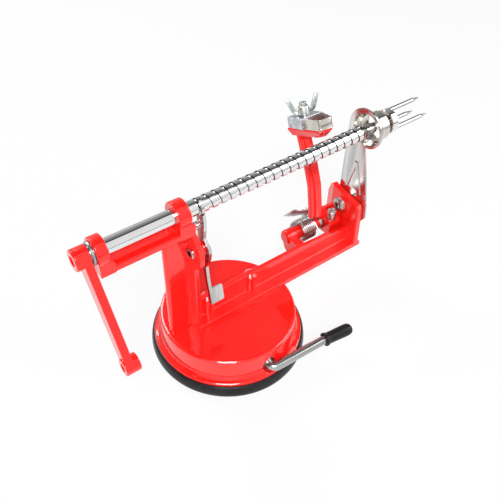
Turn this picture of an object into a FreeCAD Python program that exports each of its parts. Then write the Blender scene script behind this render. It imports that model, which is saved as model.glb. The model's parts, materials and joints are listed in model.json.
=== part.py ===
# Apple peeler with a suction base, a threaded feed shaft and a sprung peeling arm.
# Millimetres. The origin is the centre of the base on the table, +X runs along the
# shaft to the apple fork, +Z is up, and the crank is at the -X end.
import FreeCAD, Part
import math
import os

# Shaft and its feed thread
OVERALL_LENGTH = 260.0
HUB_FACE_X = -95.0
SHAFT_Y = 3.7
SHAFT_Z = 124.1
SHAFT_R = 5.0
THREAD_ROOT_R = 4.2
THREAD_PITCH = 6.35
THREAD_START_X = -20.0
THREAD_END_X = 118.0
CREST_W = 3.4
GROOVE_FLANK_W = 0.375
NECK_R = 3.5
TENON_R = 2.5

# Fork
FORK_HUB_X0 = 131.0
FORK_HUB_X1 = 136.0
FORK_HUB_R = 8.65
FORK_PIN_R = 1.5
FORK_PIN_CIRCLE_R = 7.0
FORK_PIN_COUNT = 3
FORK_FIRST_ANGLE = 72.0
FORK_POINT_L = 7.0

# Crank
CRANK_HUB_R = 6.5
CRANK_HUB_X1 = -86.0
CRANK_REACH = 64.5
CRANK_ANGLE = 34.5
CRANK_ARM_X0 = -91.2
CRANK_ARM_X1 = -86.4
CRANK_W_HUB = 13.0
CRANK_W_END = 10.0
CRANK_BOSS_R = 5.3
CRANK_BOSS_X0 = -92.0
CRANK_BOSS_X1 = -83.0
GRIP_HOLE_R = 2.7
SPIGOT_R = 3.2

# Frame casting
BEARING_R = 8.9
BEARING_BORE_R = 5.05
REAR_BEARING_X0 = -84.0
REAR_BEARING_X1 = -77.0
REAR_BLOCK_X1 = -75.0
FRONT_BEARING_X0 = -34.5
FRONT_BEARING_X1 = -26.5
FRONT_BLOCK_X1 = -24.5
BLOCK_HALF_W = 8.0
BLOCK_TOP_Z = 119.0
RAIL_Z0 = 111.2
RAIL_Z1 = 115.4
COLUMN_X0 = -43.2
COLUMN_WEB_T = 4.4
RIB_X0 = -27.0
RIB_X1 = -23.8
DISC_Z = 28.4
BEAM_FLANGE_T = 3.0
BEAM_HALF_W = 10.4
BEAM_X0 = -27.0
BEAM_X1 = 117.0
BEAM_WEB_T = 3.6
BEAM_WEB_Z = 46.5
BEAM_WEB_DROP_X = 62.0
BEAM_WEB_END_Z = 41.5
WEB_FILLET_R = 1.4
RIB_FILLET_R = 3.5
PILASTER_R = 4.6
PILASTER_XS = (-13.5, 21.5)
POST_X0 = 110.0
POST_X1 = 114.7

# Peeling arm and its pivot
PIVOT_Y = 20.0
PIVOT_Z = 41.5
PIVOT_PIN_R = 2.5
LUG_X0 = 64.8
LUG_X1 = 72.5
LUG_R = 5.9
FRAME_BARREL_X1 = 90.3
FRAME_BARREL_R = 5.0
ARM_BARREL_X0 = 90.6
ARM_BARREL_R = 4.8
ARM_FOOT_X0 = 98.6
ARM_FOOT_X1 = 109.0
ARM_X0 = 82.0
ARM_X1 = 92.5
ARM_T = 3.8
ARM_RIDGE_T = 1.2
STOP_SCREW_X = 102.6
STOP_SCREW_Y = 12.5
STOP_SCREW_R = 3.0

# Torsion spring round the pivot
TORSION_R = 8.0
TORSION_WIRE_R = 0.575
TORSION_X0 = 76.7
TORSION_PITCH = 1.575
TORSION_TURNS = 8
TORSION_START_ANGLE = 161.0
TORSION_END_ANGLE = 131.3
TORSION_FRAME_LEG = 9.2
TORSION_ARM_LEG = 15.0
TORSION_HOOK = 9.0

# Head of the peeling arm, in its own tilted frame: its origin is the clamp block's
# upper rear left corner, u runs along X, v backward and down, h upward and back
HEAD_X = 79.0
HEAD_Y = 42.6
HEAD_Z = 127.6
HEAD_TILT = 20.0
CLAMP_D = 15.0
CLAMP_W = 17.2
CLAMP_H = 7.4
CLAMP_STUD_U = 8.2
CLAMP_STUD_V = -8.1
CLAMP_STUD_R = 2.5
TRAY_T = 5.5
TRAY_RIM_T = 1.2
STRIP_T = 0.65
STRIP_H = 7.1
WING_TURN = -28.0

# Release lever
LEVER_Y = -1.1
LEVER_Z = 95.2
LEVER_X0 = -19.0
LEVER_X1 = -17.0
HOOK_IN_R = 5.4
HOOK_OUT_R = 6.6
TOOTH_TIP_R = 4.4
TOOTH_T = 1.0
RIVET_R = 2.6
RIVET_HEAD_R = 3.7
RIVET_BORE_R = 1.9

# Slicer plate
PLATE_X0 = 114.9
PLATE_X1 = 116.1
RING_LIP_R = 12.0
RING_R = 9.9
RING_WALL = 0.7
RING_X1 = 126.0
PLATE_SCREW_Y = 12.6
PLATE_SCREW_Z = 57.6
PLATE_SCREW_R = 2.5

# Base
FOOT_R = 53.4
PAD_T = 2.6
PRESSURE_PLATE_T = 1.8
BARREL_AXIS_Z = 16.0
CAM_BARREL_R = 5.0
CAM_BORE_R = 5.06
ECCENTRICITY = 1.5
CAM_PIN_R = 2.4
STUD_R = 7.0
SUCTION_ROD_R = 3.1
CAP_R = 4.2
BASE_SCREW_R = 2.0


def vec(x, y, z):
    return FreeCAD.Vector(x, y, z)


LEVER_BEND = vec(40.0, -52.4, BARREL_AXIS_Z)
LEVER_TIP = vec(58.0, -54.6, BARREL_AXIS_Z)


def rod_x(radius, x0, x1, y, z):
    return Part.makeCylinder(radius, x1 - x0, vec(x0, y, z), vec(1, 0, 0))


def rod_y(radius, y0, y1, x, z):
    return Part.makeCylinder(radius, y1 - y0, vec(x, y0, z), vec(0, 1, 0))


def rod_z(radius, z0, z1, x, y):
    return Part.makeCylinder(radius, z1 - z0, vec(x, y, z0), vec(0, 0, 1))


def block(x0, x1, y0, y1, z0, z1):
    return Part.makeBox(x1 - x0, y1 - y0, z1 - z0, vec(x0, y0, z0))


def closed_face(points):
    return Part.Face(Part.makePolygon(points + [points[0]]))


def plate_yz(outline, x0, x1):
    points = [vec(x0, y, z) for y, z in outline]
    return closed_face(points).extrude(vec(x1 - x0, 0, 0))


def plate_xz(outline, y0, y1):
    points = [vec(x, y0, z) for x, z in outline]
    return closed_face(points).extrude(vec(0, y1 - y0, 0))


def plate_xy(outline, z0, z1):
    points = [vec(x, y, z0) for x, y in outline]
    return closed_face(points).extrude(vec(0, 0, z1 - z0))


def turned_z(profile, x=0.0, y=0.0):
    """A solid of revolution about a vertical axis from (radius, z) points."""
    points = [vec(x + r, y, z) for r, z in profile]
    return closed_face(points).revolve(vec(x, y, 0), vec(0, 0, 1), 360)


def turned_x(profile, y, z):
    """A solid of revolution about an axis along X from (x, radius) points."""
    points = [vec(x, y + r, z) for x, r in profile]
    return closed_face(points).revolve(vec(0, y, z), vec(1, 0, 0), 360)


def arc_points(cy, cz, radius, start, end, steps):
    """Points on an arc in the YZ plane, angles in degrees from +Y toward +Z."""
    points = []
    for i in range(steps + 1):
        angle = math.radians(start + (end - start) * i / steps)
        points.append((cy + radius * math.cos(angle), cz + radius * math.sin(angle)))
    return points


def joined(*solids):
    return solids[0].fuse(list(solids[1:])).removeSplitter()


def softened(shape, radius, choose):
    """Fillets the edges that the test picks, and keeps the plain shape if none fit."""
    edges = [edge for edge in shape.Edges if choose(edge)]
    if not edges:
        return shape
    try:
        result = shape.makeFillet(radius, edges)
    except Part.OCCError:
        return shape
    return result if result.isValid() else shape


def rounded(shape, radius):
    """Rounds every edge, or else every edge along X and at the two end faces."""
    whole = softened(shape, radius, lambda e: True)
    if len(whole.Faces) > len(shape.Faces):
        return whole
    return softened(shape, radius, lambda e: e.BoundBox.XLength < 0.01)


def arc_edge(start, tangent, control_length, end):
    """The arc from start along tangent to end, whose tangents meet at one control point."""
    control = start + tangent * control_length
    middle = (start + end) * 0.5
    half_chord = (end - start).Length / 2
    rise = control - middle
    if rise.Length < 1e-6:
        return Part.LineSegment(start, end).toShape()
    radius = half_chord * control_length / rise.Length
    sagitta = radius - math.sqrt(max(radius * radius - half_chord * half_chord, 0))
    top = middle + rise * (sagitta / rise.Length)
    return Part.Arc(start, top, end).toShape()


def biarc(start, tangent0, end, tangent1):
    """Two arcs that leave start along tangent0 and reach end along tangent1."""
    gap = end - start
    a = 2 * (1 - tangent0.dot(tangent1))
    b = 2 * gap.dot(tangent0 + tangent1)
    c = -gap.dot(gap)
    length = -c / b if a < 1e-9 else (-b + math.sqrt(b * b - 4 * a * c)) / (2 * a)
    meet = (start + tangent0 * length + end - tangent1 * length) * 0.5
    turn = ((end - tangent1 * length) - (start + tangent0 * length)).normalize()
    return [arc_edge(start, tangent0, length, meet), arc_edge(meet, turn, length, end)]


def coil_point(x0, pitch, y, z, radius, start, turn):
    """Point and unit tangent of a helix about an X axis after some turns."""
    angle = math.radians(start) + turn * 2 * math.pi
    point = vec(x0 + pitch * turn, y + radius * math.cos(angle), z + radius * math.sin(angle))
    round_speed = 2 * math.pi * radius
    tangent = vec(pitch, -round_speed * math.sin(angle), round_speed * math.cos(angle))
    return point, tangent.normalize()


def coil_edges(x0, pitch, y, z, radius, start, turns):
    """A helix as biarcs of about a quarter turn each."""
    count = math.ceil(turns * 4)
    edges = []
    for i in range(count):
        p0, t0 = coil_point(x0, pitch, y, z, radius, start, turns * i / count)
        p1, t1 = coil_point(x0, pitch, y, z, radius, start, turns * (i + 1) / count)
        edges += biarc(p0, t0, p1, t1)
    return edges


def tube(edges, radius, start, direction):
    """A round tube along a chain of edges, closed to a solid."""
    ring = Part.Wire(Part.Circle(start, direction, radius).toShape())
    return Part.Wire(edges).makePipeShell([ring], True, False)


def bent_path(points, bend_radius):
    """Straight runs joined by tangent arcs of one radius."""
    edges = []
    last = points[0]
    for i in range(1, len(points) - 1):
        into = (points[i] - points[i - 1]).normalize()
        away = (points[i + 1] - points[i]).normalize()
        cut = bend_radius * math.tan(into.getAngle(away) / 2)
        a = points[i] - into * cut
        b = points[i] + away * cut
        edges.append(Part.LineSegment(last, a).toShape())
        edges.append(arc_edge(a, into, cut, b))
        last = b
    edges.append(Part.LineSegment(last, points[-1]).toShape())
    return edges


def least_gap(edges, wire_d):
    """Least free gap of a wound wire to itself, measured on points along it."""
    points = []
    lengths = []
    travelled = 0.0
    for edge in edges:
        count = 12
        for i in range(count):
            position = edge.Length * i / count
            points.append(edge.valueAt(edge.getParameterByLength(position)))
            lengths.append(travelled + position)
        travelled += edge.Length
    gap = 1e9
    for i in range(len(points)):
        for j in range(i + 1, len(points)):
            if lengths[j] - lengths[i] > 4 * wire_d:
                gap = min(gap, (points[j] - points[i]).Length - wire_d)
    return gap


# Shaft, crank and fork

def thread_ridge():
    """The raised spiral between the grooves, with a groove at the release lever's tooth."""
    first_x = THREAD_START_X + 2.2
    last_x = THREAD_END_X - 2.3
    helix = Part.makeHelix(THREAD_PITCH, last_x - first_x, SHAFT_R)
    foot_r = THREAD_ROOT_R - 0.15
    crest = CREST_W / 2
    foot = crest + GROOVE_FLANK_W * (SHAFT_R - foot_r) / (SHAFT_R - THREAD_ROOT_R)
    outline = [vec(foot_r, 0, -foot), vec(SHAFT_R, 0, -crest), vec(SHAFT_R, 0, crest), vec(foot_r, 0, foot)]
    profile = Part.makePolygon(outline + [outline[0]])
    ridge = Part.Wire(helix.Edges).makePipeShell([profile], True, True)
    ridge.rotate(vec(0, 0, 0), vec(0, 1, 0), 90)
    ridge.translate(vec(first_x, SHAFT_Y, SHAFT_Z))
    tooth_x = (LEVER_X0 + LEVER_X1) / 2
    phase = 90.0 - 360.0 * (tooth_x - first_x) / THREAD_PITCH
    ridge.rotate(vec(0, SHAFT_Y, SHAFT_Z), vec(1, 0, 0), phase)
    return ridge


def feed_shaft():
    core = rod_x(THREAD_ROOT_R, THREAD_START_X - 1, THREAD_END_X, SHAFT_Y, SHAFT_Z)
    smooth = rod_x(SHAFT_R, CRANK_HUB_X1, THREAD_START_X, SHAFT_Y, SHAFT_Z)
    spigot = rod_x(SPIGOT_R, HUB_FACE_X + 3, CRANK_HUB_X1, SHAFT_Y, SHAFT_Z)
    neck = rod_x(NECK_R, THREAD_END_X, FORK_HUB_X0, SHAFT_Y, SHAFT_Z)
    tenon = rod_x(TENON_R, FORK_HUB_X0, FORK_HUB_X1 + 0.6, SHAFT_Y, SHAFT_Z)
    return joined(core, thread_ridge(), smooth, spigot, neck, tenon)


def thrust_washer():
    disc = rod_x(7.0, -85.6, -84.4, SHAFT_Y, SHAFT_Z)
    return disc.cut(rod_x(SHAFT_R + 0.1, -86, -84, SHAFT_Y, SHAFT_Z))


def crank_arm():
    """Hub, tapered arm and a bored boss, drawn hanging down and then turned forward."""
    hub = rounded(rod_x(CRANK_HUB_R, HUB_FACE_X, CRANK_HUB_X1, SHAFT_Y, SHAFT_Z), 0.8)
    end_z = SHAFT_Z - CRANK_REACH
    half0 = CRANK_W_HUB / 2 - 0.2
    half1 = CRANK_W_END / 2
    outline = [
        (SHAFT_Y - half0, SHAFT_Z),
        (SHAFT_Y - half1, end_z),
        (SHAFT_Y + half1, end_z),
        (SHAFT_Y + half0, SHAFT_Z),
    ]
    arm = plate_yz(outline, CRANK_ARM_X0, CRANK_ARM_X1)
    arm = softened(arm, 0.9, lambda e: abs(e.tangentAt(e.FirstParameter).z) > 0.9)
    boss = rounded(rod_x(CRANK_BOSS_R, CRANK_BOSS_X0, CRANK_BOSS_X1, SHAFT_Y, end_z), 0.7)
    crank = joined(hub, arm, boss)
    crank = crank.cut(rod_x(GRIP_HOLE_R, CRANK_BOSS_X0 - 1, CRANK_BOSS_X1 + 1, SHAFT_Y, end_z))
    crank = crank.cut(rod_x(SPIGOT_R, HUB_FACE_X - 1, CRANK_HUB_X1 + 1, SHAFT_Y, SHAFT_Z))
    crank.rotate(vec(0, SHAFT_Y, SHAFT_Z), vec(1, 0, 0), -CRANK_ANGLE)
    return crank


def fork_hub():
    profile = [
        (FORK_HUB_X0, TENON_R),
        (FORK_HUB_X0, FORK_HUB_R - 0.6),
        (FORK_HUB_X0 + 0.6, FORK_HUB_R),
        (FORK_HUB_X1 - 0.6, FORK_HUB_R),
        (FORK_HUB_X1, FORK_HUB_R - 0.6),
        (FORK_HUB_X1, TENON_R),
    ]
    hub = turned_x(profile, SHAFT_Y, SHAFT_Z)
    for y, z in fork_centres():
        hub = hub.cut(rod_x(FORK_PIN_R, FORK_HUB_X0 + 1, FORK_HUB_X1 + 1, y, z))
    return hub


def fork_centres():
    centres = []
    for i in range(FORK_PIN_COUNT):
        angle = math.radians(FORK_FIRST_ANGLE + 360.0 * i / FORK_PIN_COUNT)
        y = SHAFT_Y + FORK_PIN_CIRCLE_R * math.cos(angle)
        centres.append((y, SHAFT_Z + FORK_PIN_CIRCLE_R * math.sin(angle)))
    return centres


def fork_pins():
    tip_x = HUB_FACE_X + OVERALL_LENGTH
    profile = [
        (FORK_HUB_X0 + 1, 0),
        (FORK_HUB_X0 + 1, FORK_PIN_R),
        (tip_x - FORK_POINT_L, FORK_PIN_R),
        (tip_x - 0.4, 0.25),
        (tip_x, 0),
    ]
    return Part.makeCompound([turned_x(profile, y, z) for y, z in fork_centres()])


# Frame casting

def bearing(x0, x1, block_x1):
    """A round bearing ring on a block with flat sides."""
    ring = rounded(rod_x(BEARING_R, x0, x1, SHAFT_Y, SHAFT_Z), 0.9)
    foot = block(x0, block_x1, SHAFT_Y - BLOCK_HALF_W, SHAFT_Y + BLOCK_HALF_W, RAIL_Z0, BLOCK_TOP_Z)
    cheek = block(x0, x1, SHAFT_Y - BLOCK_HALF_W, SHAFT_Y + BLOCK_HALF_W, BLOCK_TOP_Z - 1, SHAFT_Z)
    foot = softened(foot, 0.9, lambda e: e.BoundBox.ZMin > RAIL_Z0 + 0.1)
    return joined(ring, foot, cheek)


def rail():
    deck = block(
        REAR_BEARING_X0 + 1, FRONT_BEARING_X0 + 1,
        SHAFT_Y - BLOCK_HALF_W, SHAFT_Y + BLOCK_HALF_W, RAIL_Z0, RAIL_Z1,
    )
    deck = softened(deck, 1.0, lambda e: e.BoundBox.XLength > 20)
    rear = bearing(REAR_BEARING_X0, REAR_BEARING_X1, REAR_BLOCK_X1)
    front = bearing(FRONT_BEARING_X0, FRONT_BEARING_X1, FRONT_BLOCK_X1)
    return joined(deck, rear, front)


def column():
    """A thin web under the front bearing with a cross rib on its right side."""
    half = COLUMN_WEB_T / 2
    web = plate_xz(
        [
            (COLUMN_X0, DISC_Z), (COLUMN_X0, RAIL_Z0 - 4), (COLUMN_X0 - 1.5, RAIL_Z0 - 1.0),
            (COLUMN_X0 - 5, RAIL_Z0), (RIB_X0, RAIL_Z0), (RIB_X0, DISC_Z),
        ],
        SHAFT_Y - half, SHAFT_Y + half,
    )
    web = softened(web, half - 0.2, lambda e: e.BoundBox.XMax < COLUMN_X0 + 0.1 and e.BoundBox.ZLength > 20)
    foot = plate_xz(
        [
            (COLUMN_X0, DISC_Z), (COLUMN_X0, DISC_Z + 1.2), (RIB_X0, DISC_Z + 1.2), (RIB_X0, DISC_Z),
        ],
        SHAFT_Y - half - 1.4, SHAFT_Y + half + 1.4,
    )
    rib = plate_yz(
        [
            (-5.0, DISC_Z), (-5.0, 84.0), (-9.4, 88.5), (-12.0, 92.0), (-12.2, 97.2), (-10.2, 103.9),
            (-8.2, 105.2), (-4.3, RAIL_Z0), (11.7, RAIL_Z0), (12.4, 100.0), (12.4, DISC_Z),
        ],
        RIB_X0, RIB_X1,
    )
    rib = rounded(rib, 0.8)
    gusset = plate_xz(
        [(RIB_X1, DISC_Z), (RIB_X1, 110.0), (-20.5, 96.0), (-19.8, 60.0), (-19.6, 47.5), (-18.0, DISC_Z)],
        SHAFT_Y - BEAM_WEB_T / 2, SHAFT_Y + BEAM_WEB_T / 2,
    )
    pivot_boss = rod_x(5.0, RIB_X1 - 1, LEVER_X0 - 0.3, LEVER_Y, LEVER_Z)
    return joined(web, foot, rib, gusset, pivot_boss)


def beam_fillets():
    """Hollow fillets where the web and the rib stand on the flange."""
    top = DISC_Z + BEAM_FLANGE_T
    side = BEAM_WEB_T / 2 + WEB_FILLET_R
    root = block(RIB_X1 - 1, POST_X0 + 1, SHAFT_Y - side, SHAFT_Y + side, top - 0.5, top + WEB_FILLET_R)
    for y in (SHAFT_Y - side, SHAFT_Y + side):
        root = root.cut(rod_x(WEB_FILLET_R, RIB_X1 - 2, POST_X0 + 2, y, top + WEB_FILLET_R - 0.03))
    x1 = RIB_X1 + RIB_FILLET_R
    corner = block(RIB_X1 - 0.5, x1, -4.2, 11.6, top - 0.5, top + RIB_FILLET_R)
    corner = corner.cut(rod_y(RIB_FILLET_R, -5.2, 12.6, x1, top + RIB_FILLET_R - 0.03))
    return joined(root, corner)


def beam():
    """Bottom flange with a tall web and two screw bosses in the web."""
    flange = block(
        BEAM_X0, BEAM_X1, SHAFT_Y - BEAM_HALF_W, SHAFT_Y + BEAM_HALF_W, DISC_Z, DISC_Z + BEAM_FLANGE_T
    )
    flange = softened(flange, 0.9, lambda e: e.BoundBox.ZMin > DISC_Z + 1 or e.BoundBox.ZLength > 1)
    half = BEAM_WEB_T / 2
    web = plate_xz(
        [
            (RIB_X1 - 1, DISC_Z), (RIB_X1 - 1, BEAM_WEB_Z), (BEAM_WEB_DROP_X, BEAM_WEB_Z),
            (88.0, BEAM_WEB_Z - 1.8), (POST_X0 + 1, BEAM_WEB_END_Z), (POST_X0 + 1, DISC_Z),
        ],
        SHAFT_Y - half, SHAFT_Y + half,
    )
    web = softened(web, 0.8, lambda e: e.BoundBox.ZMin > DISC_Z + 10 and e.BoundBox.YLength < 0.1)
    bosses = []
    for x in PILASTER_XS:
        bosses.append(rod_z(PILASTER_R, DISC_Z, BEAM_WEB_Z - 2.0, x, SHAFT_Y))
        bosses.append(Part.makeCone(PILASTER_R, PILASTER_R - 2.0, 1.6, vec(x, SHAFT_Y, BEAM_WEB_Z - 2.0)))
    return joined(flange, web, beam_fillets(), *bosses)


def post():
    """Upright plate at the fork end, bevelled at its rear edge."""
    plate = plate_yz(
        [
            (SHAFT_Y - BEAM_HALF_W, DISC_Z), (-5.4, 64.0), (-3.6, 65.9), (10.0, 68.0), (18.5, 69.6),
            (22.5, 70.5), (25.5, 68.0), (28.5, 60.0), (28.5, 40.0), (SHAFT_Y + BEAM_HALF_W, DISC_Z),
        ],
        POST_X0, POST_X1,
    )
    plate = rounded(plate, 0.9)
    bevel = plate_xy([(POST_X0 - 1, 18.5), (POST_X0 - 1, 29.5), (POST_X1 - 1.3, 29.5)], 33.0, 72.0)
    return plate.cut(bevel)


def arm_lug():
    """Boss and barrel behind the beam that carry the arm's pivot pin, and a spring rib."""
    back_y = SHAFT_Y + BEAM_WEB_T / 2
    boss = rod_x(LUG_R, LUG_X0, LUG_X1, PIVOT_Y, PIVOT_Z)
    boss = softened(boss, 2.6, lambda e: e.BoundBox.XMax < LUG_X0 + 0.1)
    neck = plate_yz(
        [
            (back_y - 1, DISC_Z), (back_y - 1, 42.5), (12.0, 43.6), (PIVOT_Y, PIVOT_Z),
            (22.5, 35.0), (20.5, 31.0), (17.0, DISC_Z),
        ],
        LUG_X0 + 1.2, LUG_X1,
    )
    neck = softened(neck, 0.6, lambda e: e.BoundBox.YMin > 12 and e.BoundBox.XLength < 0.1)
    barrel = rod_x(FRAME_BARREL_R, LUG_X1 - 1, FRAME_BARREL_X1, PIVOT_Y, PIVOT_Z)
    rib = plate_yz(spring_rib_outline(back_y), 85.0, 93.0)
    return joined(boss, neck, barrel, rib)


def spring_rib_outline(back_y):
    """The rib's sloped top is square to the spring leg that ends on it."""
    leg = torsion_leg_direction()
    foot = torsion_leg_end()
    along = (-leg[1], leg[0])
    low = (foot[0] - along[0] * 1.6, foot[1] - along[1] * 1.6)
    high = (foot[0] + along[0] * 2.6, foot[1] + along[1] * 2.6)
    rise = [(back_y - 1, high[1]), high, low] if along[1] > 0 else [(back_y - 1, low[1]), low, high]
    return [(back_y - 1, DISC_Z)] + rise + [(rise[-1][0] + 0.8, DISC_Z)]


def frame_casting():
    frame = joined(rail(), column(), beam(), post(), arm_lug())
    frame = frame.cut(rod_x(BEARING_BORE_R, REAR_BEARING_X0 - 1, FRONT_BLOCK_X1 + 1, SHAFT_Y, SHAFT_Z))
    frame = frame.cut(rod_x(PIVOT_PIN_R, LUG_X0 + 2.0, FRAME_BARREL_X1 + 1, PIVOT_Y, PIVOT_Z))
    frame = frame.cut(rod_x(RIVET_R, RIB_X0 - 1, LEVER_X0 + 1, LEVER_Y, LEVER_Z))
    frame = frame.cut(rod_x(RIVET_HEAD_R + 0.1, RIB_X0 - 1.2, RIB_X0, LEVER_Y, LEVER_Z))
    frame = frame.cut(rod_x(PLATE_SCREW_R, POST_X0 - 1, POST_X1 + 1, PLATE_SCREW_Y, PLATE_SCREW_Z))
    for x in PILASTER_XS:
        frame = frame.cut(rod_z(BASE_SCREW_R, DISC_Z - 1, 42.0, x, SHAFT_Y))
    return frame


# Release lever

def hook_outline():
    """C-shaped hook that hugs the front of the shaft, open toward the back."""
    outer = arc_points(SHAFT_Y, SHAFT_Z, HOOK_OUT_R, 250, 97, 16)
    inner = arc_points(SHAFT_Y, SHAFT_Z, HOOK_IN_R, 92, 268, 18)
    return outer + inner


def release_lever():
    hook = plate_yz(hook_outline(), LEVER_X0, LEVER_X1)
    upper = plate_yz(
        [
            (-3.4, 122.0), (-4.1, 116.5), (-3.7, 110.0), (-2.9, 103.6), (-6.2, 101.2), (-8.3, 99.0),
            (-8.7, 95.5), (-7.9, 90.0), (-6.1, 85.2), (-3.9, 80.2), (-1.0, 80.2), (0.2, 86.0),
            (2.9, 91.0), (3.3, 99.5), (3.5, 118.4), (0.0, 118.7),
        ],
        LEVER_X0, LEVER_X1,
    )
    strip = plate_yz(
        [
            (-4.4, 82.0), (-5.9, 70.2), (-8.1, 61.6), (-9.9, 52.4),
            (-7.4, 51.9), (-5.4, 61.4), (-3.1, 70.0), (-1.2, 82.0),
        ],
        LEVER_X0, LEVER_X1,
    )
    pad = plate_yz([(-7.5, 64.0), (-9.9, 52.4), (-8.7, 52.1), (-6.3, 63.7)], LEVER_X0, -9.4)
    pad = softened(pad, 1.5, lambda e: e.BoundBox.XLength < 0.1 and e.BoundBox.XMin > -9.5 and e.Length < 2)
    tooth_x = (LEVER_X0 + LEVER_X1) / 2
    tooth = plate_yz(
        arc_points(SHAFT_Y, SHAFT_Z, HOOK_IN_R + 0.6, 166, 194, 4)
        + arc_points(SHAFT_Y, SHAFT_Z, TOOTH_TIP_R, 194, 166, 4),
        tooth_x - TOOTH_T / 2, tooth_x + TOOTH_T / 2,
    )
    lever = joined(hook, upper, strip, pad, tooth)
    return lever.cut(rod_x(RIVET_R + 0.05, LEVER_X0 - 1, LEVER_X1 + 1, LEVER_Y, LEVER_Z))


def release_rivet():
    """A rivet drilled from the front, with a rolled rim at its open end."""
    back_x = LEVER_X1 + 0.2
    profile = [
        (RIB_X0 - 1.0, RIVET_BORE_R), (RIB_X0 - 1.0, RIVET_HEAD_R - 0.5), (RIB_X0 - 0.5, RIVET_HEAD_R),
        (RIB_X0, RIVET_HEAD_R), (RIB_X0, RIVET_R), (back_x, RIVET_R), (back_x, RIVET_HEAD_R),
        (back_x + 0.8, RIVET_HEAD_R), (back_x + 0.8, 0), (LEVER_X0, 0), (LEVER_X0, RIVET_BORE_R),
    ]
    return turned_x(profile, LEVER_Y, LEVER_Z)


def release_spring():
    """Small coil between the front bearing block and the lever, its ends turned straight."""
    wire_r = 0.25
    radius = 2.3
    turns = 3
    straight = 2 * wire_r
    bend = 0.7
    bend_angle = 20.0
    y = -1.0
    z = 114.6
    far_x = LEVER_X0 - 0.2
    coil_x0 = FRONT_BLOCK_X1 + straight + bend
    pitch = (far_x - straight - bend - coil_x0) / turns
    first, first_dir = coil_point(coil_x0, pitch, y, z, radius, 0.0, 0)
    last, last_dir = coil_point(coil_x0, pitch, y, z, radius, 0.0, turns)
    before = math.radians(-bend_angle)
    after = math.radians(bend_angle)
    foot = vec(coil_x0 - bend, y + radius * math.cos(before), z + radius * math.sin(before))
    head = vec(far_x - straight, y + radius * math.cos(after), z + radius * math.sin(after))
    along = vec(1, 0, 0)
    edges = [Part.LineSegment(foot - along * straight, foot).toShape()]
    edges += biarc(foot, along, first, first_dir)
    edges += coil_edges(coil_x0, pitch, y, z, radius, 0.0, turns)
    edges += biarc(last, last_dir, head, along)
    edges.append(Part.LineSegment(head, head + along * straight).toShape())
    print("release_spring least gap", round(least_gap(edges, 2 * wire_r), 3))
    return tube(edges, wire_r, foot - along * straight, along)


# Peeling arm

def torsion_leg_direction():
    """Unit direction in (y, z) of the spring leg that runs down to the frame's rib."""
    angle = math.radians(TORSION_END_ANGLE)
    return (-math.sin(angle), math.cos(angle))


def torsion_leg_end():
    angle = math.radians(TORSION_END_ANGLE)
    direction = torsion_leg_direction()
    y = PIVOT_Y + TORSION_R * math.cos(angle) + direction[0] * TORSION_FRAME_LEG
    z = PIVOT_Z + TORSION_R * math.sin(angle) + direction[1] * TORSION_FRAME_LEG
    return (y, z)


def arm_torsion_spring():
    """Close coil round the barrel, one leg down to the frame, one bent behind the arm."""
    turns = TORSION_TURNS + (TORSION_END_ANGLE - TORSION_START_ANGLE) / 360.0
    y = PIVOT_Y
    z = PIVOT_Z
    coil = coil_edges(TORSION_X0, TORSION_PITCH, y, z, TORSION_R, TORSION_START_ANGLE, turns)
    first, first_dir = coil_point(TORSION_X0, TORSION_PITCH, y, z, TORSION_R, TORSION_START_ANGLE, 0)
    last, last_dir = coil_point(TORSION_X0, TORSION_PITCH, y, z, TORSION_R, TORSION_START_ANGLE, turns)
    knee = first - first_dir * TORSION_ARM_LEG
    free_end = knee + vec(TORSION_HOOK, 0, 0)
    arm_leg = bent_path([free_end, knee, first], 1.6)
    frame_leg = Part.LineSegment(last, last + last_dir * (TORSION_FRAME_LEG - 0.05)).toShape()
    print("arm_torsion_spring least gap", round(least_gap(coil, 2 * TORSION_WIRE_R), 3))
    return tube(arm_leg + coil + [frame_leg], TORSION_WIRE_R, free_end, vec(-1, 0, 0))


def arm_outline(front_extra):
    """Side view of the arm's blade, from the root up into the tray's underside."""
    centre = [(14.5, 56.6), (14.7, 62.7), (18.3, 81.8), (23.8, 95.7), (33.0, 113.9), (35.0, 117.8)]
    front = [(y - ARM_T / 2 - front_extra, z) for y, z in centre]
    back = [(y + ARM_T / 2, z) for y, z in reversed(centre)]
    return front + back


def on_head(shape):
    """Moves a shape drawn in the head's own frame to its place on the arm."""
    shape.rotate(vec(0, 0, 0), vec(1, 0, 0), -HEAD_TILT)
    shape.translate(vec(HEAD_X, HEAD_Y, HEAD_Z))
    return shape


def tray():
    """Tray under the clamp and the blade, narrower at its underside."""
    top = [
        (-0.6, 0.6), (10.4, 0.6), (CLAMP_W + 0.4, -4.8), (CLAMP_W + 0.4, -15.0), (12.2, -29.4),
        (10.0, -30.8), (5.0, -30.0), (2.2, -28.2),
    ]
    bottom = [
        (1.0, -1.4), (9.8, -1.4), (CLAMP_W - 1.2, -5.8), (CLAMP_W - 1.2, -14.4), (11.4, -24.0),
        (9.6, -25.6), (6.8, -24.8), (4.6, -22.8),
    ]
    z1 = -CLAMP_H
    rim_z = z1 - TRAY_RIM_T
    rim = softened(plate_xy(top, rim_z, z1), 0.7, lambda e: e.BoundBox.ZMin > z1 - 0.1)
    upper = Part.makePolygon([vec(x, y, rim_z) for x, y in top + top[:1]])
    lower = Part.makePolygon([vec(x, y, z1 - TRAY_T) for x, y in bottom + bottom[:1]])
    return on_head(joined(rim, Part.makeLoft([lower, upper], True, True)))


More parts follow.
